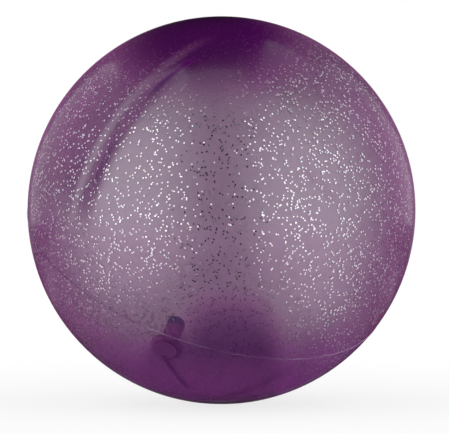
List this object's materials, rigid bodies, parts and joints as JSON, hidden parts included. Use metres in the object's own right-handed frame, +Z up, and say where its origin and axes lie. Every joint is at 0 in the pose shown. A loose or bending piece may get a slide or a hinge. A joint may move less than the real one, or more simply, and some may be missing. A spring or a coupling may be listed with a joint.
{
  "type": "inflatable play ball",
  "caption": "Translucent purple glitter vinyl play ball with a raised mould line, an inner valve sleeve and a push-in stopper that slides out for blowing it up.",
  "frame": {"origin": "middle of the ball", "axes": "+Z up as the ball is pictured, +X to the right and +Y away from the viewer; the mould's axis leans 31 degrees from +Z towards the viewer and to the right"},
  "size_m": [0.2202, 0.22, 0.22],
  "materials": {
    "glitter_vinyl": "gloss",
    "sleeve_vinyl": "satin",
    "stopper_vinyl": "satin"
  },
  "bodies": {
    "ball": {"ball_skin": "glitter_vinyl", "valve_sleeve": "sleeve_vinyl"},
    "stopper": {"stopper_plug": "stopper_vinyl"}
  },
  "joints": [
    {"name": "stopper_slide", "type": "slide", "parent": "ball", "child": "stopper", "axis": [-0.2739, -0.6757, -0.6844], "range_m": [0, 0.017]}
  ]
}
